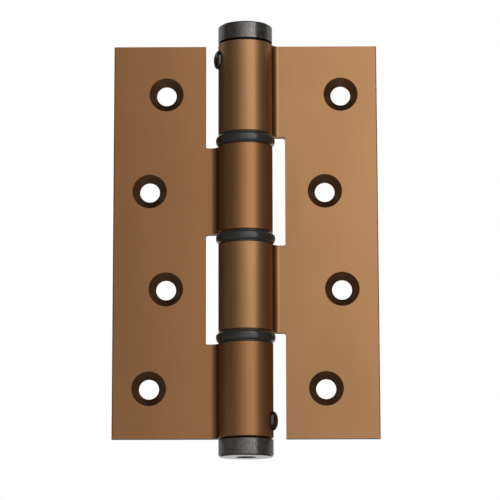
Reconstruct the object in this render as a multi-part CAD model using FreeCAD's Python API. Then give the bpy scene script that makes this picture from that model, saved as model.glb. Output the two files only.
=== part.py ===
import FreeCAD, Part
import math
import os

from FreeCAD import Vector

# Spring hinge of two extruded leaves, laid open flat.
# Millimetres. The hinge axis is Z, and the origin lies on it at half height.
# The countersunk side faces -Y. The door leaf reaches to +X, the frame leaf to -X.
# The two leaves, and all that each end holds, are alike: one turned over about Y is the other.

# Leaves
LEAF_HEIGHT = 120.0
LEAF_REACH = 40.0  # hinge axis to the outer edge, half of the open width
LEAF_THICKNESS = 3.0
CLOSED_GAP = 3.0  # between the two countersunk faces when the door is shut
LEAF_EDGE_RADIUS = 0.4
WEB_FILLET = 2.2  # hollow between the barrel and the leaf's countersunk face
BACK_FILLET = 2.0  # the same at the back
NOTCH_CLEARANCE = 3.8  # from the barrel to the edge of a cut-out
NOTCH_CORNER_RADIUS = 0.6

# Screw holes in the leaves
HOLES_PER_LEAF = 4
HOLE_RADIUS = 3.0
COUNTERSINK_RADIUS = 5.2
COUNTERSINK_ANGLE = 90.0
HOLE_END_MARGIN = 15.0
HOLE_EDGE_MARGIN = 11.0
HOLE_STAGGER = 5.0

# Barrel
BARREL_RADIUS = 8.2
KNUCKLE_WALL = 1.9
KNUCKLE_PAIRS = 2
KNUCKLE_CHAMFER = 0.25
BORE_CHAMFER = 0.3

# Nylon thrust rings between the knuckles
RING_HEIGHT = 3.4
RING_PLAY = 0.1
RING_BULGE = 0.7
RING_LAND = 0.5  # straight part of the rim above and below the bulge
RING_LAND_INSET = 0.1
RING_CREST = 0.8  # height of the bulge's flat crest

# Nylon bushes pressed into the knuckles' open ends
BUSH_LENGTH = 8.0
BUSH_WALL = 0.8
PRESS_FIT_ROOM = 0.02
RUNNING_CLEARANCE = 0.05

# Axle tube, which the knuckles turn on and which houses the spring
TUBE_WALL = 0.7
END_WASHER_THICKNESS = 0.8
TUBE_END_PLAY = 0.1

# End plugs, turned, one for each end of the barrel
HEAD_HEIGHT = 5.6
HEAD_RIM_CHAMFER = 0.4
HEAD_SEAT_CHAMFER = 0.35
SHANK_LENGTH = 11.0
SHANK_CLEARANCE = 0.05
NOSE_LENGTH = 4.5
NOSE_CLEARANCE = 0.1
KEY_ACROSS_FLATS = 5.0
KEY_SOCKET_DEPTH = 4.0
LOCK_HOLE_COUNT = 8
LOCK_HOLE_RADIUS = 1.25
LOCK_HOLE_DEPTH = 2.8

# Button-head screws that lock the plugs in the outer knuckles
LOCK_SCREW_INSET = 5.0  # from the end of the barrel to the screw
LOCK_SCREW_LEAN = 10.0  # degrees from straight opposite the leaf, towards its countersunk face
SCREW_HEAD_RADIUS = 2.85
SCREW_HEAD_HEIGHT = 1.65
SCREW_RIM_HEIGHT = 0.45
SCREW_CROWN_RADIUS = 1.4  # flat top of the head, round the key socket
SCREW_SHOULDER_RADIUS = 2.35  # where the head's side turns from steep to shallow
SCREW_SHOULDER_HEIGHT = 1.2
SCREW_SHANK_RADIUS = 1.45
SCREW_HOLE_CLEARANCE = 0.05
SCREW_POINT_RADIUS = 1.1
SCREW_POINT_LENGTH = 2.0
SCREW_KEY_ACROSS_FLATS = 2.0
SCREW_KEY_DEPTH = 1.0
SPOT_FACE_DEPTH = 0.25
SPOT_FACE_ROOM = 0.25

# Torsion spring of square wire, and the rod that keeps it straight
SPRING_WIRE = 1.8
SPRING_FULL_TURNS = 24  # and half a turn more, so that the two ends stand opposite each other
SPRING_ROOM = 0.7  # between the coils and the tube
SPRING_BEND_RADIUS = 1.6
SPRING_STEPS = 16  # straight lengths of wire to a turn: the coil is hidden in the tube
SPRING_BEND_STEPS = 4
SPRING_END_ROOM = 1.0  # from the bent end to the plug's nose
TANG_DEPTH = 2.5  # how far the end of the wire reaches into the plug
TANG_CLEARANCE = 0.1
GUIDE_ROOM = 0.4  # between the coils and the rod
GUIDE_ROD_DEPTH = 7.0  # how far the rod reaches into a plug
GUIDE_END_ROOM = 0.3

# Sizes that follow
HALF_HEIGHT = LEAF_HEIGHT / 2
FACE_Y = CLOSED_GAP / 2
BACK_Y = FACE_Y + LEAF_THICKNESS
KNUCKLE_COUNT = 2 * KNUCKLE_PAIRS
KNUCKLE_PITCH = LEAF_HEIGHT / KNUCKLE_COUNT
KNUCKLE_GAP = RING_HEIGHT + RING_PLAY
NOTCH_REACH = BARREL_RADIUS + NOTCH_CLEARANCE
BORE_RADIUS = BARREL_RADIUS - KNUCKLE_WALL
BUSH_RADIUS = BORE_RADIUS - PRESS_FIT_ROOM
BUSH_BORE_RADIUS = BUSH_RADIUS - BUSH_WALL
TUBE_RADIUS = BUSH_BORE_RADIUS - RUNNING_CLEARANCE
TUBE_BORE_RADIUS = TUBE_RADIUS - TUBE_WALL
COIL_OUTER_RADIUS = TUBE_BORE_RADIUS - SPRING_ROOM
COIL_RADIUS = COIL_OUTER_RADIUS - SPRING_WIRE / 2
SPRING_TURNS = SPRING_FULL_TURNS + 0.5
GUIDE_RADIUS = COIL_OUTER_RADIUS - SPRING_WIRE - GUIDE_ROOM
SHANK_RADIUS = BORE_RADIUS - SHANK_CLEARANCE
NOSE_RADIUS = TUBE_BORE_RADIUS - NOSE_CLEARANCE
SHOULDER_Z = HALF_HEIGHT - SHANK_LENGTH
NOSE_END_Z = SHOULDER_Z - NOSE_LENGTH
TUBE_HALF_LENGTH = SHOULDER_Z - END_WASHER_THICKNESS - TUBE_END_PLAY
LOCK_SCREW_Z = HALF_HEIGHT - LOCK_SCREW_INSET
SCREW_SEAT_RADIUS = BARREL_RADIUS - SPOT_FACE_DEPTH

OVERCUT = 0.5  # how far a cutting solid runs past the surface that it cuts
TOP = Vector(0, 0, 1)
BACKWARDS = Vector(0, 1, 0)
ORIGIN = Vector(0, 0, 0)


def knuckle_spans():
    """The lowest and highest z of each knuckle, from the top of the barrel down."""
    spans = []
    for number in range(KNUCKLE_COUNT):
        top = HALF_HEIGHT - number * KNUCKLE_PITCH
        bottom = top - KNUCKLE_PITCH
        if number > 0:
            top -= KNUCKLE_GAP / 2
        if number < KNUCKLE_COUNT - 1:
            bottom += KNUCKLE_GAP / 2
        spans.append((bottom, top))
    return spans


def turned_over(shape):
    """The same piece turned over about Y, for the frame leaf's end of the hinge."""
    copy = shape.copy()
    copy.rotate(ORIGIN, BACKWARDS, 180)
    return copy


def revolved(points, sweep=360.0, start=0.0):
    """A solid turned about the hinge axis from a profile of (radius, z) points."""
    corners = [Vector(radius, 0, z) for radius, z in points]
    face = Part.Face(Part.makePolygon(corners + corners[:1]))
    solid = face.revolve(ORIGIN, TOP, sweep)
    solid.rotate(ORIGIN, TOP, start)
    return solid


def tube(outer, inner, bottom, top):
    """A plain sleeve."""
    return revolved([(inner, bottom), (outer, bottom), (outer, top), (inner, top)])


def hexagon(across_flats, centre, axis, length):
    """A hexagonal prism from a centre along an axis, for a key socket."""
    corner_radius = across_flats / math.sqrt(3)
    side = axis.cross(TOP)
    if side.Length < 0.5:
        side = Vector(1, 0, 0)
    side.normalize()
    up = axis.cross(side)
    corners = []
    for number in range(7):
        turn = math.radians(60 * number)
        corners.append(centre + side * corner_radius * math.cos(turn) + up * corner_radius * math.sin(turn))
    return Part.Face(Part.makePolygon(corners)).extrude(axis * length)


def web_fillet(radius, face_y, side):
    """Centre of the hollow fillet between the barrel and a face of the leaf, and where it meets the barrel.
    side is -1 on the countersunk face and 1 at the back."""
    centre_y = face_y + side * radius
    centre_x = math.sqrt((BARREL_RADIUS + radius) ** 2 - centre_y**2)
    centre = Vector(centre_x, centre_y, 0)
    return centre, centre * (BARREL_RADIUS / (BARREL_RADIUS + radius))


def arc_about(centre, radius, start, end):
    """The shorter arc about a centre from one point to another."""
    middle = (start - centre).normalize() + (end - centre).normalize()
    middle = centre + middle.normalize() * radius
    return Part.Arc(start, middle, end).toShape()


def line(start, end):
    return Part.LineSegment(start, end).toShape()


def leaf_section():
    """The extruded section: a ring for the barrel that runs into a flat leaf through two hollow fillets."""
    front_centre, front_start = web_fillet(WEB_FILLET, FACE_Y, -1)
    back_centre, back_start = web_fillet(BACK_FILLET, BACK_Y, 1)
    front_end = Vector(front_centre.x, FACE_Y, 0)
    back_end = Vector(back_centre.x, BACK_Y, 0)
    inner_x = LEAF_REACH - LEAF_EDGE_RADIUS
    front_corner = Vector(inner_x, FACE_Y + LEAF_EDGE_RADIUS, 0)
    back_corner = Vector(inner_x, BACK_Y - LEAF_EDGE_RADIUS, 0)
    tip_front = Vector(LEAF_REACH, front_corner.y, 0)
    tip_back = Vector(LEAF_REACH, back_corner.y, 0)
    face_tip = Vector(inner_x, FACE_Y, 0)
    back_tip = Vector(inner_x, BACK_Y, 0)
    outline = [
        arc_about(front_centre, WEB_FILLET, front_start, front_end),
        line(front_end, face_tip),
        arc_about(front_corner, LEAF_EDGE_RADIUS, face_tip, tip_front),
        line(tip_front, tip_back),
        arc_about(back_corner, LEAF_EDGE_RADIUS, tip_back, back_tip),
        line(back_tip, back_end),
        arc_about(back_centre, BACK_FILLET, back_end, back_start),
        Part.Arc(back_start, Vector(-BARREL_RADIUS, 0, 0), front_start).toShape(),
    ]
    bore = Part.makeCircle(BORE_RADIUS, ORIGIN, TOP)
    return Part.makeFace([Part.Wire(outline), Part.Wire(bore)], "Part::FaceMakerBullseye")


def notch(bottom, top):
    """The cutter of a cut-out, which takes the barrel and the leaf's inner edge away between two heights."""
    start_x = -BARREL_RADIUS - OVERCUT
    depth = 2 * (BARREL_RADIUS + OVERCUT)
    block = Part.makeBox(NOTCH_REACH - start_x, depth, top - bottom, Vector(start_x, -depth / 2, bottom))
    corners = []
    for edge in block.Edges:
        middle = edge.CenterOfMass
        if abs(middle.x - NOTCH_REACH) < 1e-6 and abs(middle.y) < 1e-6:
            corners.append(edge)
    return block.makeFillet(NOTCH_CORNER_RADIUS, corners)


def knuckle_chamfers(bottom, top):
    """Cutters that break the edges of a knuckle's ends: inside all round, outside where no leaf joins."""
    front_start = web_fillet(WEB_FILLET, FACE_Y, -1)[1]
    back_start = web_fillet(BACK_FILLET, BACK_Y, 1)[1]
    start = math.degrees(math.atan2(back_start.y, back_start.x))
    sweep = 360 + math.degrees(math.atan2(front_start.y, front_start.x)) - start
    cutters = []
    for z, inwards in ((bottom, 1), (top, -1)):
        outside = [
            (BARREL_RADIUS - KNUCKLE_CHAMFER, z),
            (BARREL_RADIUS + OVERCUT, z),
            (BARREL_RADIUS + OVERCUT, z + inwards * (KNUCKLE_CHAMFER + OVERCUT)),
        ]
        inside = [
            (BORE_RADIUS + BORE_CHAMFER, z),
            (BORE_RADIUS - OVERCUT, z),
            (BORE_RADIUS - OVERCUT, z + inwards * (BORE_CHAMFER + OVERCUT)),
        ]
        cutters.append(revolved(outside, sweep, start))
        cutters.append(revolved(inside))
    return cutters


def hole_places():
    """The (x, z) places of the door leaf's screw holes, from the top down, staggered in two columns."""
    pitch = (LEAF_HEIGHT - 2 * HOLE_END_MARGIN) / (HOLES_PER_LEAF - 1)
    outer_x = LEAF_REACH - HOLE_EDGE_MARGIN
    places = []
    for number in range(HOLES_PER_LEAF):
        x = outer_x - HOLE_STAGGER * (number % 2)
        places.append((x, HALF_HEIGHT - HOLE_END_MARGIN - number * pitch))
    return places


def countersunk_hole(x, z):
    """The cutter of one screw hole, with its countersink on the leaf's front face."""
    slope = math.tan(math.radians(COUNTERSINK_ANGLE / 2))
    depth = (COUNTERSINK_RADIUS - HOLE_RADIUS) / slope
    mouth = COUNTERSINK_RADIUS + OVERCUT * slope
    start = Vector(x, FACE_Y - OVERCUT, z)
    cone = Part.makeCone(mouth, HOLE_RADIUS, depth + OVERCUT, start, BACKWARDS)
    shaft = Part.makeCylinder(HOLE_RADIUS, LEAF_THICKNESS + 2 * OVERCUT, start, BACKWARDS)
    return cone.fuse(shaft)


def screw_direction():
    """From the hinge axis out along the lock screw of the door leaf's top knuckle."""
    lean = math.radians(LOCK_SCREW_LEAN)
    return Vector(-math.cos(lean), -math.sin(lean), 0)


def screw_point(radius):
    """The point on the lock screw's own axis at a distance from the hinge axis."""
    return screw_direction() * radius + TOP * LOCK_SCREW_Z


def lock_screw_hole():
    """The cutter of the tapped hole in the outer knuckle, with the spot face that the head sits on."""
    direction = screw_direction()
    hole = Part.makeCylinder(
        SCREW_SHANK_RADIUS + SCREW_HOLE_CLEARANCE,
        KNUCKLE_WALL + 2 * OVERCUT,
        screw_point(BORE_RADIUS - OVERCUT),
        direction,
    )
    spot_face = Part.makeCylinder(
        SCREW_HEAD_RADIUS + SPOT_FACE_ROOM,
        SPOT_FACE_DEPTH + OVERCUT,
        screw_point(SCREW_SEAT_RADIUS),
        direction,
    )
    return hole.fuse(spot_face)


def door_leaf():
    """One extruded leaf with its first and third knuckles left standing."""
    section = leaf_section()
    section.translate(TOP * -HALF_HEIGHT)
    body = section.extrude(TOP * LEAF_HEIGHT)
    spans = knuckle_spans()
    cutters = []
    for number, (bottom, top) in enumerate(spans):
        if number % 2:
            gap_top = top + KNUCKLE_GAP
            gap_bottom = bottom - KNUCKLE_GAP
            if number == KNUCKLE_COUNT - 1:
                gap_bottom = bottom - NOTCH_CORNER_RADIUS - OVERCUT
            cutters.append(notch(gap_bottom, gap_top))
        else:
            cutters.extend(knuckle_chamfers(bottom, top))
    for x, z in hole_places():
        cutters.append(countersunk_hole(x, z))
    cutters.append(lock_screw_hole())
    return body.cut(cutters)


def thrust_ring(bottom):
    """A nylon ring that sits on the knuckle below it, with a rim that swells past the barrel."""
    land_radius = BARREL_RADIUS - RING_LAND_INSET
    rim_radius = BARREL_RADIUS + RING_BULGE
    top = bottom + RING_HEIGHT
    middle = bottom + RING_HEIGHT / 2
    return revolved(
        [
            (BUSH_BORE_RADIUS, bottom),
            (land_radius, bottom),
            (land_radius, bottom + RING_LAND),
            (rim_radius, middle - RING_CREST / 2),
            (rim_radius, middle + RING_CREST / 2),
            (land_radius, top - RING_LAND),
            (land_radius, top),
            (BUSH_BORE_RADIUS, top),
        ]
    )


def bush(bottom):
    """A nylon bearing bush that lines a knuckle's bore from one of its ends."""
    return tube(BUSH_RADIUS, BUSH_BORE_RADIUS, bottom, bottom + BUSH_LENGTH)


def bush_places():
    """The lowest z of each bush, from the top down: one at every knuckle end that meets a thrust ring."""
    places = []
    for number, (bottom, top) in enumerate(knuckle_spans()):
        if number > 0:
            places.append(top - BUSH_LENGTH)
        if number < KNUCKLE_COUNT - 1:
            places.append(bottom)
    return places


def axle_tube():
    return tube(TUBE_RADIUS, TUBE_BORE_RADIUS, -TUBE_HALF_LENGTH, TUBE_HALF_LENGTH)


def end_washer():
    """The washer between the tube's upper end and the shoulder of the plug."""
    bottom = SHOULDER_Z - END_WASHER_THICKNESS
    return tube(SHANK_RADIUS, NOSE_RADIUS + NOSE_CLEARANCE, bottom, SHOULDER_Z)


def tang_centre():
    """Where the wire's straight end stands, seen along the hinge axis: off the coil's circle by the bend."""
    return Vector(COIL_RADIUS, SPRING_BEND_RADIUS * (1 - math.sin(spring_slope())), 0)


def spring_pitch():
    """The rise of one turn, which fills the room between the two bent ends."""
    return 2 * (NOSE_END_Z - SPRING_END_ROOM - SPRING_BEND_RADIUS) / SPRING_TURNS


def spring_slope():
    """How steeply the wire climbs, in radians."""
    return math.atan2(spring_pitch(), 2 * math.pi * COIL_RADIUS)


def end_plug():
    """The turned plug of the top end: head, shank with a ring of lock holes, nose for the spring's end."""
    head_top = HALF_HEIGHT + HEAD_HEIGHT
    neck_radius = BARREL_RADIUS - HEAD_SEAT_CHAMFER
    body = revolved(
        [
            (0, head_top),
            (BARREL_RADIUS - HEAD_RIM_CHAMFER, head_top),
            (BARREL_RADIUS, head_top - HEAD_RIM_CHAMFER),
            (BARREL_RADIUS, HALF_HEIGHT + HEAD_SEAT_CHAMFER),
            (neck_radius, HALF_HEIGHT),
            (SHANK_RADIUS, HALF_HEIGHT),
            (SHANK_RADIUS, SHOULDER_Z),
            (NOSE_RADIUS, SHOULDER_Z),
            (NOSE_RADIUS, NOSE_END_Z),
            (0, NOSE_END_Z),
        ]
    )
    socket_floor = Vector(0, 0, head_top - KEY_SOCKET_DEPTH)
    socket = hexagon(KEY_ACROSS_FLATS, socket_floor, TOP, KEY_SOCKET_DEPTH + OVERCUT)
    rod_bore = Part.makeCylinder(
        GUIDE_RADIUS + RUNNING_CLEARANCE,
        GUIDE_ROD_DEPTH + GUIDE_END_ROOM + OVERCUT,
        Vector(0, 0, NOSE_END_Z - OVERCUT),
    )
    tang = tang_centre()
    slot_width = SPRING_WIRE + 2 * TANG_CLEARANCE
    slot_start = tang.x - slot_width / 2
    tang_slot = Part.makeBox(
        NOSE_RADIUS - slot_start + OVERCUT,
        slot_width,
        TANG_DEPTH + TANG_CLEARANCE + OVERCUT,
        Vector(slot_start, tang.y - slot_width / 2, NOSE_END_Z - OVERCUT),
    )
    cutters = [socket, rod_bore, tang_slot]
    start = Vector(0, 0, LOCK_SCREW_Z) + screw_direction() * (SHANK_RADIUS - LOCK_HOLE_DEPTH)
    for number in range(LOCK_HOLE_COUNT):
        hole = Part.makeCylinder(LOCK_HOLE_RADIUS, LOCK_HOLE_DEPTH + OVERCUT, start, screw_direction())
        hole.rotate(ORIGIN, TOP, number * 360 / LOCK_HOLE_COUNT)
        cutters.append(hole)
    return body.cut(cutters)


def lock_screw():
    """A button-head screw of the top end, whose plain point stands in one of the plug's lock holes."""
    point_end = BORE_RADIUS - SCREW_POINT_LENGTH
    crown_top = SCREW_SEAT_RADIUS + SCREW_HEAD_HEIGHT
    screw = revolved(
        [
            (0, point_end),
            (SCREW_POINT_RADIUS, point_end),
            (SCREW_POINT_RADIUS, BORE_RADIUS),
            (SCREW_SHANK_RADIUS, BORE_RADIUS),
            (SCREW_SHANK_RADIUS, SCREW_SEAT_RADIUS),
            (SCREW_HEAD_RADIUS, SCREW_SEAT_RADIUS),
            (SCREW_HEAD_RADIUS, SCREW_SEAT_RADIUS + SCREW_RIM_HEIGHT),
            (SCREW_SHOULDER_RADIUS, SCREW_SEAT_RADIUS + SCREW_SHOULDER_HEIGHT),
            (SCREW_CROWN_RADIUS, crown_top),
            (0, crown_top),
        ]
    )
    floor = Vector(0, 0, crown_top - SCREW_KEY_DEPTH)
    screw = screw.cut(hexagon(SCREW_KEY_ACROSS_FLATS, floor, TOP, SCREW_KEY_DEPTH + OVERCUT))
    screw.Placement = FreeCAD.Placement(TOP * LOCK_SCREW_Z, FreeCAD.Rotation(TOP, screw_direction()))
    return screw


def guide_rod():
    """The rod inside the spring, with both ends in blind bores of the plugs."""
    half_length = NOSE_END_Z + GUIDE_ROD_DEPTH
    return Part.makeCylinder(GUIDE_RADIUS, 2 * half_length, TOP * -half_length)


def upper_wire():
    """Stations along the upper half of the spring's wire, from mid-height: the centre, the way outwards and
    the way down across the wire. The coil's last station leans into a bend, then comes the straight tang."""
    steps = round(SPRING_TURNS * SPRING_STEPS / 2)
    stations = []
    for step in range(steps):
        angle = SPRING_TURNS * math.pi * (step / steps - 1)
        outwards = Vector(math.cos(angle), math.sin(angle), 0)
        height = spring_pitch() * SPRING_TURNS / 2 * step / steps
        stations.append((outwards * COIL_RADIUS + TOP * height, outwards, TOP * -1))
    outwards = Vector(1, 0, 0)
    slope = spring_slope()
    coil_end = outwards * COIL_RADIUS + TOP * (spring_pitch() * SPRING_TURNS / 2)
    bend_centre = coil_end - Vector(0, math.sin(slope), -math.cos(slope)) * SPRING_BEND_RADIUS
    for step in range(SPRING_BEND_STEPS + 1):
        lean = slope + (math.pi / 2 - slope) * step / SPRING_BEND_STEPS
        across = Vector(0, math.sin(lean), -math.cos(lean))
        stations.append((bend_centre + across * SPRING_BEND_RADIUS, outwards, across))
    stations.append((tang_centre() + TOP * (NOSE_END_Z + TANG_DEPTH), outwards, BACKWARDS))
    return stations


def flat_faces(a, b, c, d):
    """One face over four corners that lie in a plane, and else two triangles."""
    normal = (b - a).cross(d - a).normalize()
    if abs((c - a).dot(normal)) < 1e-6:
        loops = [[a, b, c, d, a]]
    else:
        loops = [[a, b, c, a], [a, c, d, a]]
    return [Part.Face(Part.makePolygon(loop)) for loop in loops]


def torsion_spring():
    """Square wire in a coil round the rod, both of its ends bent straight along the axis into the plugs.
    A skin over square sections of the wire, whose lower half is the upper one turned over about Y."""
    upper = upper_wire()
    turn = FreeCAD.Rotation(BACKWARDS, 180)
    stations = []
    for centre, outwards, across in reversed(upper[1:]):
        stations.append((turn.multVec(centre), turn.multVec(outwards), turn.multVec(across) * -1))
    stations += upper
    sections = []
    for centre, outwards, across in stations:
        side = outwards * (SPRING_WIRE / 2)
        rise = across * (SPRING_WIRE / 2)
        below = centre - rise
        above = centre + rise
        sections.append([below - side, below + side, above + side, above - side])
    faces = flat_faces(*sections[0]) + flat_faces(*sections[-1])
    for low, high in zip(sections, sections[1:]):
        for number in range(4):
            faces += flat_faces(low[number - 1], low[number], high[number], high[number - 1])
    shell = Part.makeShell(faces)
    shell.sewShape()
    return Part.makeSolid(shell.Shells[0])


def pieces():
    """Every piece of the hinge under its own name."""
    leaf = door_leaf()
    plug = end_plug()
    screw = lock_screw()
    washer = end_washer()
    spans = knuckle_spans()
    made = {
        "door_leaf": leaf,
        "frame_leaf": turned_over(leaf),
        "top_end_plug": plug,
        "bottom_end_plug": turned_over(plug),
        "top_lock_screw": screw,
        "bottom_lock_screw": turned_over(screw),
        "top_end_washer": washer,
        "bottom_end_washer": turned_over(washer),
        "axle_tube": axle_tube(),
        "torsion_spring": torsion_spring(),
        "spring_guide_rod": guide_rod(),
    }
    for number in range(1, KNUCKLE_COUNT):
        made[f"thrust_ring_{number}"] = thrust_ring(spans[number][1])
    for number, bottom in enumerate(bush_places(), 1):
        made[f"bearing_bush_{number}"] = bush(bottom)
    return made


os.makedirs("parts", exist_ok=True)
for name, shape in pieces().items():
    solids = shape.Solids
    print(name, "solids", len(solids), "valid", shape.isValid(), "volume", round(shape.Volume, 1))
    solids[0].exportStep(f"parts/{name}.step")
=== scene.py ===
# %% [markdown]
# A spring hinge, dressed for a product photo
#
# The hinge has two extruded leaves in bronze-anodised aluminium, an interleaved barrel with dark nylon rings
# between its knuckles, a blackened steel plug in each end and a small black screw in each side.
# Its engineering model comes in as a frame of fixed solids. Those are cut into flat facets, which
# show on a round barrel, so each visible piece is built again here as a finer mesh of the same form and
# stands for its solid. The pieces hidden in the barrel stay as they are and only get a finish.

# %% Load the frame
import math

import bmesh
import bpy
import numpy as np
from mathutils import Matrix, Vector


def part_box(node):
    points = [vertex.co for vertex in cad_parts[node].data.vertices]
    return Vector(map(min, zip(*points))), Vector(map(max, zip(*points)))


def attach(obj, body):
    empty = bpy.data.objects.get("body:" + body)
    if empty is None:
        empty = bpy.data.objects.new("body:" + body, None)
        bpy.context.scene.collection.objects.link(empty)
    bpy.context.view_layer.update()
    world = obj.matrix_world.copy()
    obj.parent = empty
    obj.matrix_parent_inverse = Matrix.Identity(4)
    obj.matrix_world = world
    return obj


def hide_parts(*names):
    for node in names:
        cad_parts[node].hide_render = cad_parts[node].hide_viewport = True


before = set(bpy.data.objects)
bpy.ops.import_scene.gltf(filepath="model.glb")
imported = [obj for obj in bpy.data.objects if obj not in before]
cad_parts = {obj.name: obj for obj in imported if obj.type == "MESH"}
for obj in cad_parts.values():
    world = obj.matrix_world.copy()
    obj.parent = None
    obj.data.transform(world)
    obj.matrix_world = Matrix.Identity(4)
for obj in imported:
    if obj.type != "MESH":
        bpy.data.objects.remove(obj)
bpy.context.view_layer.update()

# %% [markdown]
# Sizes
#
# The outer sizes are read from the frame, so that a piece always fits the solid that it stands for. The rest
# are the maker's own: thicknesses, chamfers and hollows, in metres, written once.

# %% Sizes from the frame and the maker's sizes
MM = 0.001
leaf_low, leaf_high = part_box("door_leaf")
HALF_HEIGHT = leaf_high.z
LEAF_REACH = leaf_high.x
BARREL_RADIUS = -leaf_low.y
HEAD_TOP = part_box("top_end_plug")[1].z
RING_BOXES = [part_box(f"thrust_ring_{number}") for number in (1, 2, 3)]
RING_RADIUS = RING_BOXES[0][1].y
RING_PLAY = 0.1 * MM
FACE_Y = 1.5 * MM
BACK_Y = 4.5 * MM
LEAF_EDGE = 0.4 * MM
WEB_FILLET = 2.2 * MM
BACK_FILLET = 2.0 * MM
NOTCH_REACH = BARREL_RADIUS + 3.8 * MM
NOTCH_CORNER = 0.6 * MM
BORE_RADIUS = BARREL_RADIUS - 1.9 * MM
KNUCKLE_CHAMFER = 0.25 * MM
BORE_CHAMFER = 0.3 * MM
SEAM_HEIGHT = 0.45 * MM
OVERCUT = 0.5 * MM
print("height", 2 * HALF_HEIGHT, "reach", LEAF_REACH, "barrel", BARREL_RADIUS, "ring", RING_RADIUS)

# %% [markdown]
# Where the knuckles lie
#
# A ring rests on the knuckle below it and leaves a hair of play under the one above. So the three rings give
# the two ends of all four knuckles, from the top down.

# %% Knuckle ends
knuckle_spans = []
knuckle_top = HALF_HEIGHT
for ring_low, ring_high in RING_BOXES:
    knuckle_spans.append((ring_high.z + RING_PLAY, knuckle_top))
    knuckle_top = ring_low.z
knuckle_spans.append((-HALF_HEIGHT, knuckle_top))
print("knuckles", [(round(low, 5), round(high, 5)) for low, high in knuckle_spans])

# %% [markdown]
# Outlines
#
# Every shape here starts as a flat outline made of straight runs and arcs. Numpy works out all the points
# of an arc at once, and an outline is a few such arrays stacked on each other.


# %% Arcs and outlines
def arc(centre, radius, start, end, steps):
    """Points at radius * (cosine, sine) of an angle that goes evenly from start to end, in degrees."""
    angles = np.radians(np.linspace(start, end, steps))
    return np.column_stack([np.cos(angles), np.sin(angles)]) * radius + np.asarray(centre)


def bearing(point):
    """The direction of a point from the hinge axis, in degrees."""
    return math.degrees(math.atan2(point[1], point[0]))


def fillet_centre(radius, face_y, side):
    """The centre of a circle that touches a leaf's face and the barrel: radius away from both."""
    y = face_y + side * radius
    return np.array([math.sqrt((BARREL_RADIUS + radius) ** 2 - y**2), y])


FRONT_CENTRE = fillet_centre(WEB_FILLET, FACE_Y, -1)
BACK_CENTRE = fillet_centre(BACK_FILLET, BACK_Y, 1)
BARREL_START = bearing(BACK_CENTRE)
BARREL_END = bearing(FRONT_CENTRE) + 360
print("the barrel's arc runs from", round(BARREL_START, 1), "to", round(BARREL_END, 1), "degrees")

# %% [markdown]
# From an outline to a solid
#
# Two ways carry an outline through space. A prism repeats it at a second height, for what is extruded or
# sawn. A turned piece carries its profile round an axis, for what comes off a lathe. Both are grids: one
# parameter runs along the outline, the other along the path, and every face joins four neighbours.

# %% Grids, prisms and turned pieces
TURN_STEPS = 128


def grid_faces(rows, columns, close_rows, close_columns):
    """Four-cornered faces between neighbours in a grid, with its last row or column joined to its first."""
    row = np.arange(rows if close_rows else rows - 1)
    column = np.arange(columns if close_columns else columns - 1)
    row, column = np.meshgrid(row, column, indexing="ij")
    next_row = (row + 1) % rows
    next_column = (column + 1) % columns
    corners = [row * columns + column, row * columns + next_column]
    corners += [next_row * columns + next_column, next_row * columns + column]
    return np.stack(corners, axis=-1).reshape(-1, 4).tolist()


def prism(outline, low, high, along=2):
    """The outline at low and again at high, in the two axes other than along, with flat ends."""
    count = len(outline)
    points = np.zeros((2, count, 3))
    others = [axis for axis in range(3) if axis != along]
    points[:, :, others] = outline
    points[0, :, along] = low
    points[1, :, along] = high
    faces = grid_faces(2, count, False, True)
    faces += [list(range(count)), list(range(count, 2 * count))]
    return points.reshape(-1, 3), faces


def turned(profile, start=0.0, sweep=360.0, steps=TURN_STEPS):
    """A closed profile of (radius, height) points carried round Z: x = radius * cosine, y = radius * sine."""
    whole = sweep >= 360
    angles = np.radians(start + np.linspace(0, sweep, steps, endpoint=not whole))
    radius, height = np.asarray(profile, float).T
    points = np.empty((steps, len(radius), 3))
    points[:, :, 0] = np.cos(angles)[:, None] * radius
    points[:, :, 1] = np.sin(angles)[:, None] * radius
    points[:, :, 2] = height
    faces = grid_faces(steps, len(radius), whole, True)
    if not whole:
        last = (steps - 1) * len(radius)
        faces += [list(range(len(radius))), list(range(last, last + len(radius)))]
    return points.reshape(-1, 3), faces


# %% [markdown]
# Meshes that a cutter can work on
#
# A profile that touches the axis leaves many points on one spot, so doubles are merged first, and then the
# normals are turned outwards. A cutter needs both: a closed skin, and a clear inside.

# %% Make an object from points and faces
WELD = 1e-7


def clean(mesh):
    """Merges doubled points, drops what collapsed, and turns the normals outwards."""
    shape = bmesh.new()
    shape.from_mesh(mesh)
    bmesh.ops.remove_doubles(shape, verts=shape.verts, dist=WELD)
    bmesh.ops.dissolve_degenerate(shape, dist=WELD, edges=shape.edges)
    bmesh.ops.recalc_face_normals(shape, faces=shape.faces)
    shape.to_mesh(mesh)
    shape.free()


def new_object(name, points, faces, placement=None):
    """An object at the origin. A placement moves its points, not the object."""
    mesh = bpy.data.meshes.new(name)
    mesh.from_pydata(np.asarray(points).tolist(), [], faces)
    if placement is not None:
        mesh.transform(placement)
    clean(mesh)
    made = bpy.data.objects.new(name, mesh)
    bpy.context.scene.collection.objects.link(made)
    return made


def cut(body, cutters):
    """Takes the cutters out of the body one after another and keeps the result as its mesh."""
    for cutter in cutters:
        step = body.modifiers.new("cut", "BOOLEAN")
        step.operation = "DIFFERENCE"
        step.solver = "MANIFOLD"
        step.object = cutter
    bpy.context.view_layer.update()
    result = body.evaluated_get(bpy.context.evaluated_depsgraph_get())
    mesh = bpy.data.meshes.new_from_object(result)
    body.modifiers.clear()
    old = body.data
    body.data = mesh
    bpy.data.meshes.remove(old)
    mesh.name = body.name
    for cutter in cutters:
        bpy.data.objects.remove(cutter)
    return body


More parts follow.
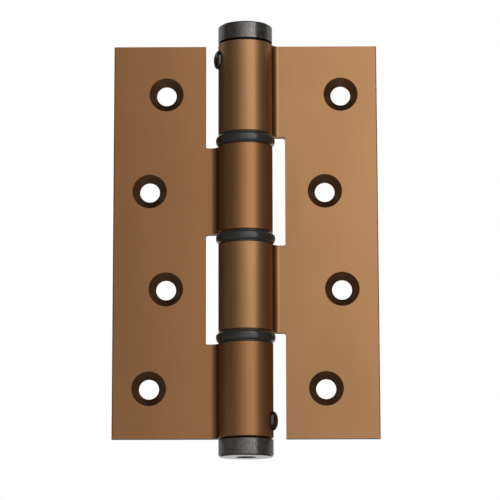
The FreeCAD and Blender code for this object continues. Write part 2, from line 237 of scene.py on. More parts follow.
# %% [markdown]
# Finishing a mesh
#
# A machined piece is smooth along its curves and crisp at its edges. Edges that turn by more than a set
# angle are marked sharp, and the Weighted Normal modifier lets large flat faces keep their own direction
# where a hollow runs out of them. Then the piece joins its body and takes the place of its solid.

# %% Shade and hand a piece to its body
SHARP = math.radians(32)


def is_closed(mesh):
    """Whether every edge joins exactly two faces."""
    shape = bmesh.new()
    shape.from_mesh(mesh)
    closed = all(len(edge.link_faces) == 2 for edge in shape.edges)
    shape.free()
    return closed


def finish_piece(piece, material, body, node):
    """Smooth but for its sharp edges, in its material, on its body, in the place of its solid."""
    mesh = piece.data
    mesh.shade_smooth()
    mesh.set_sharp_from_angle(angle=SHARP)
    weighted = piece.modifiers.new("flat faces stay flat", "WEIGHTED_NORMAL")
    weighted.keep_sharp = True
    mesh.materials.clear()
    mesh.materials.append(material)
    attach(piece, body)
    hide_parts(node)
    print(piece.name, "points", len(mesh.vertices), "faces", len(mesh.polygons), "closed", is_closed(mesh))


# %% [markdown]
# Shader maths in Python
#
# A material is a graph of small nodes. One class wraps a socket, so that a sum of two sockets is written as
# a sum, and one function makes any node from its settings and inputs.


# %% A socket that takes part in sums
class Signal:
    def __init__(self, tree, socket):
        self.tree = tree
        self.socket = socket

    def maths(self, operation, *others):
        values = dict(enumerate([self, *others]))
        return shader_node(self.tree, "ShaderNodeMath", {"operation": operation}, values)[0]

    def __add__(self, other):
        return self.maths("ADD", other)

    def __sub__(self, other):
        return self.maths("SUBTRACT", other)

    def __rsub__(self, other):
        return shader_node(self.tree, "ShaderNodeMath", {"operation": "SUBTRACT"}, {0: other, 1: self})[0]

    def __mul__(self, other):
        return self.maths("MULTIPLY", other)

    def __pow__(self, other):
        return self.maths("POWER", other)

    __radd__ = __add__
    __rmul__ = __mul__

    def root(self):
        return self.maths("SQRT")

    def size(self):
        return self.maths("ABSOLUTE")

    def larger(self, other):
        return self.maths("MAXIMUM", other)

    def step(self, low, high):
        """0 below low, 1 above high, and a smooth rise between."""
        settings = {"interpolation_type": "SMOOTHSTEP"}
        return shader_node(self.tree, "ShaderNodeMapRange", settings, {0: self, 1: low, 2: high})[0]


def shader_node(tree, kind, settings=None, inputs=None):
    """Makes a node, sets its settings first and its sockets next, and returns its outputs as signals."""
    node = tree.nodes.new(kind)
    for name, value in (settings or {}).items():
        setattr(node, name, value)
    for name, value in (inputs or {}).items():
        if isinstance(value, Signal):
            tree.links.new(value.socket, node.inputs[name])
        else:
            node.inputs[name].default_value = value
    return [Signal(tree, socket) for socket in node.outputs if socket.enabled]


# %% [markdown]
# Words for the finishes
#
# The finishes below need only a few more words: where a point lies, a noise that is stretched along an axis,
# a blend of two colours, and a gloss that wanders with a noise. Noise keeps near a half, so a blend of two
# colours runs between two levels on either side of it.

# %% Places, noise, blends and surfaces
NARROW_BLEND = (0.3, 0.7)
WIDE_BLEND = (0.25, 0.75)


def new_tree(owner):
    """The empty node tree of a material or a world."""
    owner.use_nodes = True
    owner.node_tree.nodes.clear()
    return owner.node_tree


def new_material(name):
    material = bpy.data.materials.new(name)
    return material, new_tree(material)


def place_on_object(tree):
    """A point's place on its object in metres: whole, and as its x, y and z."""
    coordinate = tree.nodes.new("ShaderNodeTexCoord")
    position = Signal(tree, coordinate.outputs["Object"])
    return position, shader_node(tree, "ShaderNodeSeparateXYZ", None, {0: position})


def noise(tree, position, stretch, detail, roughness=0.5):
    """Noise of the position times a stretch per axis: a large stretch gives fine grain along that axis."""
    inputs = {0: position, 1: stretch}
    scaled = shader_node(tree, "ShaderNodeVectorMath", {"operation": "MULTIPLY"}, inputs)[0]
    inputs = {"Vector": scaled, "Scale": 1.0, "Detail": detail, "Roughness": roughness}
    return shader_node(tree, "ShaderNodeTexNoise", None, inputs)[0]


def vary(middle, *parts):
    """The middle value plus, for each part, its width times (its noise - a half)."""
    for pattern, width in parts:
        middle = middle + width * (pattern - 0.5)
    return middle


def blend_colours(tree, mask, first, second):
    """The first colour where the mask is 0, the second where it is 1."""
    settings = {"data_type": "RGBA", "blend_type": "MIX"}
    return shader_node(tree, "ShaderNodeMix", settings, {0: mask, 6: first, 7: second})[0]


def bump(tree, height, distance):
    return shader_node(tree, "ShaderNodeBump", None, {"Height": height, "Distance": distance})[0]


def show(tree, shader, kind="ShaderNodeOutputMaterial"):
    """Joins a shader to the output of its material or world."""
    output = tree.nodes.new(kind)
    tree.links.new(shader.socket, output.inputs["Surface"])


def surface(tree, **sockets):
    """The Principled shader with the given sockets, joined to the material's output."""
    inputs = {name.replace("_", " "): value for name, value in sockets.items()}
    show(tree, shader_node(tree, "ShaderNodeBsdfPrincipled", None, inputs)[0])


def colour(red, green, blue):
    """A colour as a screen shows it, from 0 to 255, turned into the light that the renderer counts in."""
    seen = np.array([red, green, blue]) / 255
    light = np.where(seen <= 0.04045, seen / 12.92, ((seen + 0.055) / 1.055) ** 2.4)
    return (*light.tolist(), 1.0)


# %% [markdown]
# Where painted shade darkens the bronze
#
# The leaves are dyed bronze. The drilled holes and the sawn sides of the cut-outs get a darker colour,
# painted shade for these hollows. They are found by their place: between the leaf's two faces, beside the
# barrel, and away from the outer rim. The hollow fillet between the front of a leaf and the barrel gets
# painted shade too, where the barrel shades the leaf. Each pair of lengths says where such a zone starts to
# fade and where it ends.

# %% Masks for the painted shade
BEHIND_FRONT = (FACE_Y + 0.02 * MM, FACE_Y + 0.15 * MM)
BEFORE_BACK = (BACK_Y - 0.1 * MM, BACK_Y)
BESIDE_BARREL = (NOTCH_REACH - 0.8 * MM, NOTCH_REACH - 0.2 * MM)
AT_RIM = (LEAF_REACH - 1 * MM, LEAF_REACH - LEAF_EDGE)
FILLET_SKIN = (WEB_FILLET, WEB_FILLET + 0.4 * MM)
FILLET_END = (-1.9 * MM, -0.9 * MM)


def hole_shade_mask(x, y):
    """Where the painted shade of the holes goes: 1 on the holes and the sawn sides, 0 elsewhere."""
    between_faces = y.step(*BEHIND_FRONT) * (1 - y.step(*BEFORE_BACK))
    beside_barrel = x.size().step(*BESIDE_BARREL)
    inside_rim = 1 - x.size().step(*AT_RIM)
    return between_faces * beside_barrel * inside_rim


def fillet_shade_mask(x, y):
    """Where the fillet's painted shade goes: 1 near the fillet's circle and on the barrel's side of its
    centre.
    """
    across = x.size() - FRONT_CENTRE[0]
    down = y - FRONT_CENTRE[1]
    near_fillet = 1 - (across * across + down * down).root().step(*FILLET_SKIN)
    near_barrel = 1 - across.step(*FILLET_END)
    return near_fillet * near_barrel


# %% [markdown]
# Bronze anodising
#
# The leaves are extruded, etched matt and dyed under a thin clear skin. The metal shows through, so the
# finish is metallic, with a soft gloss. The die leaves faint lines along the extrusion, which only just
# change the gloss, and the dye varies a little from place to place. Light that grazes the skin crosses more
# dye, so the edge tint is dark. The frame leaf takes a darker copy of the bronze: painted shade for the leaf
# that faces the dim side of the light.

# %% The two bronzes, the frame's a darker copy with painted shade
DIE_LINES = (2600, 2600, 9)
ETCH_GRAIN = (9000, 9000, 9000)
DYE_CLOUDS = (45, 45, 30)
# Painted shade for the holes and the sawn sides.
HOLE_PAINTED_SHADE = colour(128, 98, 74)
# Painted shade for the fillet beside the barrel, and how much of it.
FILLET_PAINTED_SHADE = colour(122, 92, 66)
FILLET_SHADE_SHARE = 0.8
GRAZING_TINT = (0.42, 0.52, 0.58, 1.0)
BRONZE_ROUGHNESS = 0.42
LINES_WIDTH = 0.05
GRAIN_WIDTH = 0.03
LINES_SHARE = 0.6
ETCH_DEPTH = 0.002 * MM


def bronze_anodising(name, light_dye, dark_dye):
    material, tree = new_material(name)
    position, (x, y, _) = place_on_object(tree)
    die_lines = noise(tree, position, DIE_LINES, detail=3)
    grain = noise(tree, position, ETCH_GRAIN, detail=1)
    clouds = noise(tree, position, DYE_CLOUDS, detail=3)
    dyed = blend_colours(tree, clouds.step(*NARROW_BLEND), dark_dye, light_dye)
    # Painted shade: the fillet beside the barrel takes a darker colour.
    fillet_shaded = blend_colours(tree, FILLET_SHADE_SHARE * fillet_shade_mask(x, y), dyed, FILLET_PAINTED_SHADE)
    height = LINES_SHARE * die_lines + (1 - LINES_SHARE) * grain
    # The base colour takes the painted shade of the holes and sawn sides last.
    surface(
        tree,
        Base_Color=blend_colours(tree, hole_shade_mask(x, y), fillet_shaded, HOLE_PAINTED_SHADE),
        Metallic=1.0,
        Roughness=vary(BRONZE_ROUGHNESS, (die_lines, LINES_WIDTH), (grain, GRAIN_WIDTH)),
        Specular_Tint=GRAZING_TINT,
        Normal=bump(tree, height, ETCH_DEPTH),
    )
    return material


DOOR_BRONZE = bronze_anodising("bronze_door", colour(196, 147, 103), colour(190, 142, 98))
# Painted shade: the frame leaf's bronze is a darker copy of the door's.
SHADED_FRAME_BRONZE = bronze_anodising("bronze_frame_shaded", colour(189, 137, 93), colour(184, 132, 89))
print("bronzes", DOOR_BRONZE.name, SHADED_FRAME_BRONZE.name)

# %% [markdown]
# Blackened steel
#
# The plugs come off a lathe, so their fine lines run round: they follow how far a point lies along the
# profile, which is its radius on the end face and its height on the side. A dark painted shade fills the
# seam under their heads.

# %% The plugs' finish
LATHE_LINES = (9000, 1, 1)
STEEL_PATCHES = (2200, 2200, 700)
STEEL_DARK = colour(106, 104, 102)
STEEL_LIGHT = colour(144, 141, 138)
# Painted shade for the seam groove under the head.
SEAM_PAINTED_SHADE = colour(26, 22, 19)
SEAM_FADE = 0.15 * MM
STEEL_ROUGHNESS = 0.25
LATHE_WIDTH = 0.1
PATCH_WIDTH = 0.15
LATHE_DEPTH = 0.004 * MM


def turned_steel():
    material, tree = new_material("turned_steel")
    position, (x, y, z) = place_on_object(tree)
    along_profile = (x * x + y * y).root() - z.size()
    line_place = shader_node(tree, "ShaderNodeCombineXYZ", None, {0: along_profile, 1: 0.0, 2: 0.0})[0]
    lines = noise(tree, line_place, LATHE_LINES, detail=3)
    patches = noise(tree, position, STEEL_PATCHES, detail=4, roughness=0.65)
    turned_face = blend_colours(tree, patches.step(*WIDE_BLEND), STEEL_DARK, STEEL_LIGHT)
    seam_top = HALF_HEIGHT + SEAM_HEIGHT
    # Painted shade in the seam groove, fading out just above it.
    seam = 1 - z.size().step(seam_top, seam_top + SEAM_FADE)
    surface(
        tree,
        Base_Color=blend_colours(tree, seam, turned_face, SEAM_PAINTED_SHADE),
        Metallic=1.0,
        Roughness=vary(STEEL_ROUGHNESS, (lines, LATHE_WIDTH), (patches, PATCH_WIDTH)),
        Normal=bump(tree, lines, LATHE_DEPTH),
    )
    return material


STEEL = turned_steel()
print("plugs in", STEEL.name)

# %% [markdown]
# Nylon
#
# The rings are moulded nylon, dark and a little glossy, with the fine grain of the mould.

# %% The rings' finish
MOULD_GRAIN = (3500, 3500, 3500)
NYLON_DARK = colour(42, 44, 41)
NYLON_LIGHT = colour(52, 54, 50)
NYLON_GLOSS = 1.75
NYLON_ROUGHNESS = 0.22
MOULD_WIDTH = 0.08
MOULD_DEPTH = 0.004 * MM


def moulded_nylon():
    material, tree = new_material("moulded_nylon")
    position, _ = place_on_object(tree)
    grain = noise(tree, position, MOULD_GRAIN, detail=2)
    surface(
        tree,
        Base_Color=blend_colours(tree, grain.step(*NARROW_BLEND), NYLON_DARK, NYLON_LIGHT),
        IOR=NYLON_GLOSS,
        Roughness=vary(NYLON_ROUGHNESS, (grain, MOULD_WIDTH)),
        Normal=bump(tree, grain, MOULD_DEPTH),
    )
    return material


NYLON = moulded_nylon()
print("rings in", NYLON.name)

# %% [markdown]
# Black oxide, zinc and spring steel
#
# The screws are black and polished. Inside the barrel, the tube, the rod and the washers are zinc-plated and
# the spring is oiled steel. All three finishes are metals whose tint and gloss change from patch to patch.


# %% The patchy metals
def patchy_metal(name, stretch, fade, dark, light, roughness, width):
    material, tree = new_material(name)
    position, _ = place_on_object(tree)
    patches = noise(tree, position, stretch, detail=3)
    surface(
        tree,
        Base_Color=blend_colours(tree, patches.step(*fade), dark, light),
        Metallic=1.0,
        Roughness=vary(roughness, (patches, width)),
    )
    return material


OXIDE = patchy_metal(
    "black_oxide",
    stretch=(900, 900, 900),
    fade=NARROW_BLEND,
    dark=colour(88, 87, 85),
    light=colour(102, 100, 98),
    roughness=0.14,
    width=0.06,
)
ZINC = patchy_metal(
    "zinc_plating",
    stretch=(700, 700, 300),
    fade=WIDE_BLEND,
    dark=colour(186, 188, 190),
    light=colour(204, 205, 204),
    roughness=0.32,
    width=0.1,
)
SPRING_STEEL = patchy_metal(
    "oiled_spring_steel",
    stretch=(700, 700, 300),
    fade=WIDE_BLEND,
    dark=colour(112, 113, 116),
    light=colour(136, 136, 137),
    roughness=0.34,
    width=0.1,
)
print("metals", OXIDE.name, ZINC.name, SPRING_STEEL.name)

# %% [markdown]
# The leaf's section
#
# Aluminium is pushed through a die, so one outline holds for the whole height: a round barrel, a flat
# leaf and two hollow fillets where they meet. It is walked round once, against the clock.

# %% The extruded section
FILLET_STEPS = 14
CORNER_STEPS = 8


def leaf_outline():
    inner_x = LEAF_REACH - LEAF_EDGE
    return np.vstack(
        [
            arc(FRONT_CENTRE, WEB_FILLET, BARREL_END - 180, 90, FILLET_STEPS),
            arc((inner_x, FACE_Y + LEAF_EDGE), LEAF_EDGE, -90, 0, CORNER_STEPS),
            arc((inner_x, BACK_Y - LEAF_EDGE), LEAF_EDGE, 0, 90, CORNER_STEPS),
            arc(BACK_CENTRE, BACK_FILLET, -90, BARREL_START - 180, FILLET_STEPS),
            arc((0, 0), BARREL_RADIUS, BARREL_START, BARREL_END, TURN_STEPS)[1:-1],
        ]
    )


print("section points", len(leaf_outline()))

# %% [markdown]
# What frees the knuckles
#
# The saw takes out a window for each knuckle of the other leaf. The bore runs through, a little wider at
# the mouths of each knuckle, and the knuckles' outer edges are broken. Each cutter runs a little past the
# skin that it cuts.


# %% Cutters for windows, bore and edges
def window_cutter(low, high):
    """A block round the barrel whose two corners inside the leaf are rounded."""
    reach = BARREL_RADIUS + OVERCUT
    corner = NOTCH_REACH - NOTCH_CORNER
    outline = np.vstack(
        [
            [(-reach, low), (corner, low)],
            arc((corner, low + NOTCH_CORNER), NOTCH_CORNER, -90, 0, CORNER_STEPS)[1:],
            arc((corner, high - NOTCH_CORNER), NOTCH_CORNER, 0, 90, CORNER_STEPS),
            [(-reach, high)],
        ]
    )
    return new_object("window", *prism(outline, -reach, reach, along=1))


def bore_cutter(spans):
    """One turned piece through the whole height, with a chamfer at both mouths of each knuckle."""
    mouth = BORE_RADIUS + BORE_CHAMFER + OVERCUT
    profile = [(0, -HALF_HEIGHT - OVERCUT)]
    for low, high in sorted(spans):
        profile += [(mouth, low - OVERCUT), (BORE_RADIUS, low + BORE_CHAMFER)]
        profile += [(BORE_RADIUS, high - BORE_CHAMFER), (mouth, high + OVERCUT)]
    profile.append((0, HALF_HEIGHT + OVERCUT))
    return new_object("bore", *turned(profile))


def edge_cutters(low, high):
    """Rings that break a knuckle's outer edges, all the way round but for the leaf's web."""
    made = []
    for z, inwards in ((low, 1), (high, -1)):
        profile = [
            (BARREL_RADIUS - KNUCKLE_CHAMFER - OVERCUT, z - inwards * OVERCUT),
            (BARREL_RADIUS + OVERCUT, z - inwards * OVERCUT),
            (BARREL_RADIUS + OVERCUT, z + inwards * (KNUCKLE_CHAMFER + OVERCUT)),
        ]
        made.append(new_object("edge", *turned(profile, BARREL_START, BARREL_END - BARREL_START)))
    return made


# %% [markdown]
# Holes and seats
#
# The four screw holes are drilled and countersunk from the front. The knuckle at the leaf's end gets a
# flat-bottomed seat for its lock screw, with a hole under it. The screw leans towards the front.

# %% Cutters for the screw holes and the lock screw
HOLE_RADIUS = 3.0 * MM
COUNTERSINK_RADIUS = 5.2 * MM
LOCK_SCREW_Z = HALF_HEIGHT - 5 * MM
LOCK_SCREW_LEAN = math.radians(10)
SCREW_OUT = Vector((-math.cos(LOCK_SCREW_LEAN), -math.sin(LOCK_SCREW_LEAN), 0))
SCREW_SEAT_RADIUS = BARREL_RADIUS - 0.25 * MM
SCREW_HEAD_RADIUS = 2.85 * MM
SCREW_HOLE_RADIUS = 1.5 * MM
SEAT_PLAY = 0.25 * MM


def pointing(direction, start):
    """The placement that turns Z to a direction and sets the foot of the piece at start."""
    turn = Vector(direction).to_track_quat("Z", "Y").to_matrix().to_4x4()
    return Matrix.Translation(start) @ turn


def hole_cutter(x, z):
    """A straight drill and a cone of 90 degrees: the cone's radius falls as fast as its depth grows."""
    through = BACK_Y - FACE_Y + OVERCUT
    profile = [
        (0, -OVERCUT),
        (COUNTERSINK_RADIUS + OVERCUT, -OVERCUT),
        (HOLE_RADIUS, COUNTERSINK_RADIUS - HOLE_RADIUS),
        (HOLE_RADIUS, through),
        (0, through),
    ]
    return new_object("hole", *turned(profile), pointing((0, 1, 0), (x, FACE_Y, z)))


def seat_cutter():
    """The lock screw's seat in the barrel and the hole under it."""
    foot = BORE_RADIUS - 2 * OVERCUT
    profile = [
        (0, foot),
        (SCREW_HOLE_RADIUS, foot),
        (SCREW_HOLE_RADIUS, SCREW_SEAT_RADIUS),
        (SCREW_HEAD_RADIUS + SEAT_PLAY, SCREW_SEAT_RADIUS),
        (SCREW_HEAD_RADIUS + SEAT_PLAY, BARREL_RADIUS + OVERCUT),
        (0, BARREL_RADIUS + OVERCUT),
    ]
    return new_object("seat", *turned(profile), pointing(SCREW_OUT, (0, 0, LOCK_SCREW_Z)))


# %% [markdown]
# The two leaves
#
# The door leaf keeps the first and third knuckles. Its four holes stand at an even pitch, every second one a
# stagger nearer to the barrel. The frame leaf is the same extrusion turned over about Y, which brings its
# knuckles to the second and fourth places.

# %% Build both leaves
HOLES = 4
HOLE_END_MARGIN = 15 * MM
HOLE_EDGE_MARGIN = 11 * MM
HOLE_STAGGER = 5 * MM
KNUCKLE_GAP = knuckle_spans[0][0] - knuckle_spans[1][1]
TURN_OVER = Matrix.Rotation(math.pi, 4, "Y")


def hole_cutters():
    end_z = HALF_HEIGHT - HOLE_END_MARGIN
    pitch = 2 * end_z / (HOLES - 1)
    made = []
    for number in range(HOLES):
        x = LEAF_REACH - HOLE_EDGE_MARGIN - HOLE_STAGGER * (number % 2)
        made.append(hole_cutter(x, end_z - number * pitch))
    return made


def leaf(name):
    body = new_object(name, *prism(leaf_outline(), -HALF_HEIGHT, HALF_HEIGHT))
    own = knuckle_spans[0::2]
    other = knuckle_spans[1::2]
    past_end = 2 * NOTCH_CORNER + OVERCUT
    cutters = [
        window_cutter(other[0][0] - KNUCKLE_GAP, other[0][1] + KNUCKLE_GAP),
        window_cutter(other[1][0] - past_end, other[1][1] + KNUCKLE_GAP),
        bore_cutter(own),
        seat_cutter(),
    ]
    for low, high in own:
        cutters += edge_cutters(low, high)
    return cut(body, cutters + hole_cutters())


door_leaf = leaf("door_leaf_fine")
frame_leaf = leaf("frame_leaf_fine")
frame_leaf.data.transform(TURN_OVER)
finish_piece(door_leaf, DOOR_BRONZE, "door_side", "door_leaf")
finish_piece(frame_leaf, SHADED_FRAME_BRONZE, "frame_side", "frame_leaf")

# %% [markdown]
# The nylon rings
#
# A ring is turned from one profile: short lands that meet the knuckles, and between them a rim that swells
# out past the barrel. The swell falls off with the cube of the way from mid-height, so its face is nearly
# flat and its edges are round.

# %% Build the rings
RING_LAND = 0.15 * MM
RING_LAND_RADIUS = BARREL_RADIUS - 0.1 * MM
RING_BORE = 5.48 * MM
RING_BODIES = ("frame_side", "door_side", "frame_side")
SWELL_STEPS = 17
SWELL_POWER = 3


def ring_profile(low, high):
    """The rim's radius is land + swell * (1 - |rise| ** 3), where rise goes from -1 to 1 up the ring."""
    rise = np.linspace(-1, 1, SWELL_STEPS)
    radius = RING_LAND_RADIUS + (RING_RADIUS - RING_LAND_RADIUS) * (1 - np.abs(rise) ** SWELL_POWER)
    height = (low + high) / 2 + rise * ((high - low) / 2 - RING_LAND)
    foot = [(RING_BORE, low), (RING_LAND_RADIUS, low)]
    head = [(RING_LAND_RADIUS, high), (RING_BORE, high)]
    return np.vstack([foot, np.column_stack([radius, height]), head])


for number, (low, high) in enumerate(RING_BOXES, 1):
    ring = new_object(f"ring_{number}_fine", *turned(ring_profile(low.z, high.z)))
    finish_piece(ring, NYLON, RING_BODIES[number - 1], f"thrust_ring_{number}")

# %% [markdown]
# The end plugs
#
# A plug is turned from a bar: a head as wide as the barrel, a fine seam groove at its foot, a shank that
# fills the bore and a nose that holds the spring's tang.

# %% The turned plug
HEAD_RIM = 0.4 * MM
SEAM_DEPTH = 0.5 * MM
SEAM_RIM = 0.12 * MM
SHANK_RADIUS = BORE_RADIUS - 0.05 * MM
SHOULDER_Z = HALF_HEIGHT - 11 * MM
NOSE_END_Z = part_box("top_end_plug")[0].z
NOSE_RADIUS = 4.63 * MM
NOSE_CHAMFER = 0.3 * MM


def plug_profile():
    seam_top = HALF_HEIGHT + SEAM_HEIGHT
    return [
        (0, HEAD_TOP),
        (BARREL_RADIUS - HEAD_RIM, HEAD_TOP),
        (BARREL_RADIUS, HEAD_TOP - HEAD_RIM),
        (BARREL_RADIUS, seam_top + SEAM_RIM),
        (BARREL_RADIUS - SEAM_RIM, seam_top),
        (BARREL_RADIUS - SEAM_DEPTH, seam_top),
        (BARREL_RADIUS - SEAM_DEPTH, HALF_HEIGHT),
        (SHANK_RADIUS, HALF_HEIGHT),
        (SHANK_RADIUS, SHOULDER_Z),
        (NOSE_RADIUS, SHOULDER_Z),
        (NOSE_RADIUS, NOSE_END_Z + NOSE_CHAMFER),
        (NOSE_RADIUS - NOSE_CHAMFER, NOSE_END_Z),
        (0, NOSE_END_Z),
    ]


print("plug profile points", len(plug_profile()))

# %% [markdown]
# What is cut out of a plug
#
# A hexagon socket in the head takes the key that winds the spring, with a short lead into it. A blind bore
# in the nose holds the end of the spring's guide rod, and a ring of holes in the shank takes the lock screw.

# %% Cut and build the plugs
KEY_RADIUS = 5 * MM / math.sqrt(3)
KEY_DEPTH = 4 * MM
KEY_LEAD = 0.3 * MM
ROD_BORE = 1.88 * MM
ROD_DEPTH = 7.3 * MM
ROD_STEPS = 48
LOCK_HOLES = 8
LOCK_HOLE_RADIUS = 1.25 * MM
LOCK_HOLE_DEPTH = 2.8 * MM
LOCK_HOLE_STEPS = 32


def hexagon(radius):
    """Six corners, one every 60 degrees."""
    return arc((0, 0), radius, 0, 300, 6)


def plug_cutters():
    top = HEAD_TOP + OVERCUT
    lead_foot = HEAD_TOP - KEY_LEAD
    lead = [(0, lead_foot), (KEY_RADIUS, lead_foot), (KEY_RADIUS + KEY_LEAD + OVERCUT, top), (0, top)]
    rod_low = NOSE_END_Z - OVERCUT
    rod_high = NOSE_END_Z + ROD_DEPTH
    rod_bore = [(0, rod_low), (ROD_BORE, rod_low), (ROD_BORE, rod_high), (0, rod_high)]
    return [
        new_object("socket", *prism(hexagon(KEY_RADIUS), HEAD_TOP - KEY_DEPTH, top)),
        new_object("lead", *turned(lead)),
        new_object("rod_bore", *turned(rod_bore, steps=ROD_STEPS)),
    ]


def lock_hole_cutters():
    foot = SHANK_RADIUS - LOCK_HOLE_DEPTH
    skin = SHANK_RADIUS + OVERCUT
    profile = [(0, foot), (LOCK_HOLE_RADIUS, foot), (LOCK_HOLE_RADIUS, skin), (0, skin)]
    hole = turned(profile, steps=LOCK_HOLE_STEPS)
    made = []
    for number in range(LOCK_HOLES):
        direction = Matrix.Rotation(number * 2 * math.pi / LOCK_HOLES, 4, "Z") @ SCREW_OUT
        made.append(new_object("hole", *hole, pointing(direction, (0, 0, LOCK_SCREW_Z))))
    return made


def plug(name):
    return cut(new_object(name, *turned(plug_profile())), plug_cutters() + lock_hole_cutters())


top_plug = plug("top_plug_fine")
bottom_plug = plug("bottom_plug_fine")
bottom_plug.data.transform(TURN_OVER)
finish_piece(top_plug, STEEL, "door_side", "top_end_plug")
finish_piece(bottom_plug, STEEL, "frame_side", "bottom_end_plug")

# %% [markdown]
# The lock screws
#
# A button head is a low dome over a short straight rim, with a hexagon socket. The dome is a quarter of an
# ellipse: its radius follows a sine and its height a cosine.

# %% Build the lock screws
SCREW_RIM = 0.45 * MM
SCREW_HEAD_HEIGHT = 1.65 * MM
SCREW_POINT_RADIUS = 1.1 * MM
SCREW_POINT_END = BORE_RADIUS - 2 * MM
SCREW_SHANK_RADIUS = 1.45 * MM
SCREW_KEY_RADIUS = 2 * MM / math.sqrt(3)
SCREW_KEY_DEPTH = 1 * MM
SCREW_CROWN = SCREW_SEAT_RADIUS + SCREW_HEAD_HEIGHT
SCREW_STEPS = 64
DOME_STEPS = 15


def screw_profile():
    """Point, shank and head, from the inside out. The dome is (sine, cosine) of an angle from 90 to 0."""
    rim_top = SCREW_SEAT_RADIUS + SCREW_RIM
    turn = np.radians(np.linspace(90, 0, DOME_STEPS))
    height = rim_top + (SCREW_CROWN - rim_top) * np.cos(turn)
    dome = np.column_stack([SCREW_HEAD_RADIUS * np.sin(turn), height])
    body = [
        (0, SCREW_POINT_END),
        (SCREW_POINT_RADIUS, SCREW_POINT_END),
        (SCREW_POINT_RADIUS, BORE_RADIUS),
        (SCREW_SHANK_RADIUS, BORE_RADIUS),
        (SCREW_SHANK_RADIUS, SCREW_SEAT_RADIUS),
        (SCREW_HEAD_RADIUS, SCREW_SEAT_RADIUS),
    ]
    return np.vstack([body, dome])


def lock_screw(name):
    placement = pointing(SCREW_OUT, (0, 0, LOCK_SCREW_Z))
    made = new_object(name, *turned(screw_profile(), steps=SCREW_STEPS), placement)
    socket = prism(hexagon(SCREW_KEY_RADIUS), SCREW_CROWN - SCREW_KEY_DEPTH, SCREW_CROWN + OVERCUT)
    return cut(made, [new_object("socket", *socket, placement)])


top_screw = lock_screw("top_screw_fine")
bottom_screw = lock_screw("bottom_screw_fine")
bottom_screw.data.transform(TURN_OVER)
finish_piece(top_screw, OXIDE, "door_side", "top_lock_screw")
finish_piece(bottom_screw, OXIDE, "frame_side", "bottom_lock_screw")

# %% [markdown]
# The pieces inside the barrel
#
# Nothing of them shows from outside, so their solids stay and take their finish.

# %% Finish the hidden pieces
HIDDEN = {
    "axle_tube": ZINC,
    "spring_guide_rod": ZINC,
    "top_end_washer": ZINC,
    "bottom_end_washer": ZINC,
    "torsion_spring": SPRING_STEEL,
}
BUSHES = 6
for number in range(1, BUSHES + 1):
    HIDDEN[f"bearing_bush_{number}"] = NYLON
for node, material in HIDDEN.items():
    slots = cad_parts[node].data.materials
    slots.clear()
    slots.append(material)
print("hidden pieces", len(HIDDEN))

# %% [markdown]
# The light
#
# Metal shows what stands round it. One tall softbox stands close in front, as a curved sheet that glows by
# the direction in which it stands from the hinge: faint on the left, rising to full on the right up to a
# sharp edge, and faint past it. On the right it glows more towards the top. Low down its faint parts catch
# a little light from the pale table. Because it is so close, the left leaf mirrors its dim half and the
# right leaf its bright one.

# %% How the softbox glows
GLOW_RISE = (math.radians(-69), math.radians(48))
GLOW_POWER = 1.56
GLOW_LEAST = 0.125
GLOW_GAIN = 1.3
GLOW_PAST_EDGE = 0.1
SOFTBOX_EDGE = math.radians(44.5)
EDGE_BLUR = 0.03
GLOW_AT_MIDDLE = 0.88
GLOW_PER_METRE = 2.68
TABLE_GLOW = 0.08
TABLE_FADE = (-46 * MM, -14 * MM)
TABLE_SIDE = (math.radians(-22), math.radians(2))


def softbox_glow():
    """Glow = across * (middle + slope * height * full) + the table's glow, low down in the faint parts."""
    material, tree = new_material("softbox_glow")
    _, (x, y, z) = place_on_object(tree)
    direction = x.maths("ARCTAN2", y * -1.0)
    full = direction.step(*GLOW_RISE) ** GLOW_POWER
    past_edge = direction.step(SOFTBOX_EDGE - EDGE_BLUR, SOFTBOX_EDGE + EDGE_BLUR)
    across = (GLOW_LEAST + GLOW_GAIN * full) * (1 - past_edge) + GLOW_PAST_EDGE * past_edge
    low = 1 - z.step(*TABLE_FADE)
    faint = 1 - direction.step(*TABLE_SIDE) + past_edge
    glow = across * (GLOW_AT_MIDDLE + GLOW_PER_METRE * z * full) + TABLE_GLOW * low * faint
    show(tree, shader_node(tree, "ShaderNodeEmission", None, {"Strength": glow})[0])
    return material


# %% [markdown]
# The sheet itself
#
# The sheet is part of a tube round the hinge. The camera looks through it, and it casts no shadow.

# %% The softbox
SOFTBOX_RADIUS = 150 * MM
SOFTBOX_START = math.radians(-100)
SOFTBOX_END = math.radians(95)
SOFTBOX_LOW = -210 * MM
SOFTBOX_HIGH = 240 * MM
SOFTBOX_COLUMNS = 64


def softbox():
    """Angle across and height up: x = radius * sine, y = -radius * cosine of the angle."""
    angles = np.linspace(SOFTBOX_START, SOFTBOX_END, SOFTBOX_COLUMNS)
    angle, height = np.meshgrid(angles, [SOFTBOX_LOW, SOFTBOX_HIGH], indexing="ij")
    points = np.stack([SOFTBOX_RADIUS * np.sin(angle), -SOFTBOX_RADIUS * np.cos(angle), height], axis=-1)
    mesh = bpy.data.meshes.new("softbox")
    mesh.from_pydata(points.reshape(-1, 3).tolist(), [], grid_faces(SOFTBOX_COLUMNS, 2, False, False))
    mesh.materials.append(softbox_glow())
    box = bpy.data.objects.new("softbox", mesh)
    bpy.context.scene.collection.objects.link(box)
    box.visible_camera = False
    box.visible_shadow = False
    print("softbox faces", len(mesh.polygons))


softbox()

# %% [markdown]
# Backdrop
#
# Behind the hinge is plain white. The camera sees it in every direction. The metal sees a band of it high
# behind the hinge, which brightens the sides of the two plugs, and its foot at half strength just above the
# floor. All other directions are dim, as in a darkened studio.


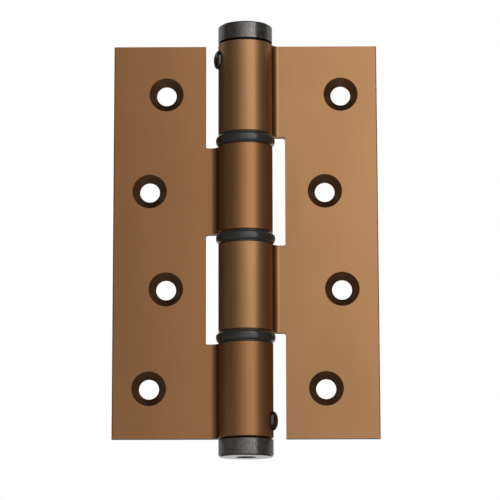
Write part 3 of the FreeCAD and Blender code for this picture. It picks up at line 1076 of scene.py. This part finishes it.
# %% What kind of ray sees it
def ray_signals(tree, *kinds):
    """For each kind, a signal that is 1 where a ray of that kind looks, and 0 for all others."""
    path = tree.nodes.new("ShaderNodeLightPath")
    return [Signal(tree, path.outputs[f"Is {kind} Ray"]) for kind in kinds]


# %% [markdown]
# The world
#
# The white comes in or goes out between two levels of a direction. The first pair is for its part along Y,
# which says how far behind the hinge it points. The other three are for its part along Z, how high.

# %% The world
WHITE = (1, 1, 1, 1)
BACKDROP_BEHIND = (0.15, 0.4)
BACKDROP_ABOVE = (0.23, 0.31)
BACKDROP_TOP = (0.5, 0.7)
BACKDROP_FOOT = (0.085, 0.125)
FOOT_SHARE = 0.5
STUDIO_DIM = 0.05


def studio_world():
    world = bpy.data.worlds.new("studio")
    bpy.context.scene.world = world
    tree = new_tree(world)
    coordinate = tree.nodes.new("ShaderNodeTexCoord")
    direction = Signal(tree, coordinate.outputs["Generated"])
    _, y, z = shader_node(tree, "ShaderNodeSeparateXYZ", None, {0: direction})
    seen, glossy, passed = ray_signals(tree, "Camera", "Glossy", "Transmission")
    high_band = z.step(*BACKDROP_ABOVE) * (1 - z.step(*BACKDROP_TOP))
    foot = FOOT_SHARE * (1 - z.step(*BACKDROP_FOOT))
    backdrop = y.step(*BACKDROP_BEHIND) * (high_band + foot)
    white = seen.larger(glossy.larger(passed) * backdrop)
    inputs = {"Color": WHITE, "Strength": STUDIO_DIM + (1 - STUDIO_DIM) * white}
    show(tree, shader_node(tree, "ShaderNodeBackground", None, inputs)[0], "ShaderNodeOutputWorld")
    print("world", world.name)


studio_world()

# %% [markdown]
# Floor
#
# A pale floor lies well below the hinge. The camera sees it nearly white, and a share of the matt stays, so
# that it keeps the hinge's shadow. Far behind the hinge it is white for the metal too, and the lower plug's
# end mirrors that. The first pair of numbers says how far behind it turns white, in metres.

# %% The floor
FLOOR_LIT = (0.2, 0.7)
FLOOR_Z = -220 * MM
FLOOR_SIDE = 4.0
FLOOR_PALE = (0.8, 0.8, 0.8, 1)
FLOOR_GLOW = 1.12
FLOOR_WHITE_SHARE = 0.88


def pale_floor():
    half = FLOOR_SIDE / 2
    front = [(-half, -half, FLOOR_Z), (half, -half, FLOOR_Z)]
    rear = [(half, half, FLOOR_Z), (-half, half, FLOOR_Z)]
    floor = new_object("floor", front + rear, [[0, 1, 2, 3]])
    material, tree = new_material("pale_floor")
    seen, glossy = ray_signals(tree, "Camera", "Glossy")
    _, (_, y, _) = place_on_object(tree)
    matt = shader_node(tree, "ShaderNodeBsdfDiffuse", None, {"Color": FLOOR_PALE})[0]
    white = shader_node(tree, "ShaderNodeEmission", None, {"Color": WHITE, "Strength": FLOOR_GLOW})[0]
    lit = (FLOOR_WHITE_SHARE * seen).larger(glossy * y.step(*FLOOR_LIT))
    show(tree, shader_node(tree, "ShaderNodeMixShader", None, {0: lit, 1: matt, 2: white})[0])
    floor.data.materials.append(material)
    print("floor at", FLOOR_Z)


pale_floor()

# %% [markdown]
# The camera
#
# A long lens stands a little below the hinge and looks up at it by ten degrees, so that the rings and
# the plugs show as arcs that open upwards. Its turns are in radians.

# %% The camera
CAMERA_PLACE = Vector((6.28, -688.64, -124.85)) * MM
CAMERA_PITCH = 0.1746
CAMERA_YAW = 0.0072
CAMERA_ROLL = 0.0023
CAMERA_LENS = 167.6
CAMERA_CLIP = 10 * MM

camera = bpy.data.objects.new("camera", bpy.data.cameras.new("camera"))
bpy.context.scene.collection.objects.link(camera)
camera.data.lens = CAMERA_LENS
camera.data.clip_start = CAMERA_CLIP
camera.matrix_world = (
    Matrix.Translation(CAMERA_PLACE)
    @ Matrix.Rotation(CAMERA_YAW, 4, "Z")
    @ Matrix.Rotation(CAMERA_PITCH, 4, "X")
    @ Matrix.Rotation(CAMERA_ROLL, 4, "Y")
    @ Matrix.Rotation(math.pi / 2, 4, "X")
)
bpy.context.scene.camera = camera
bpy.context.scene.view_settings.view_transform = "Standard"
print("camera lens", CAMERA_LENS)
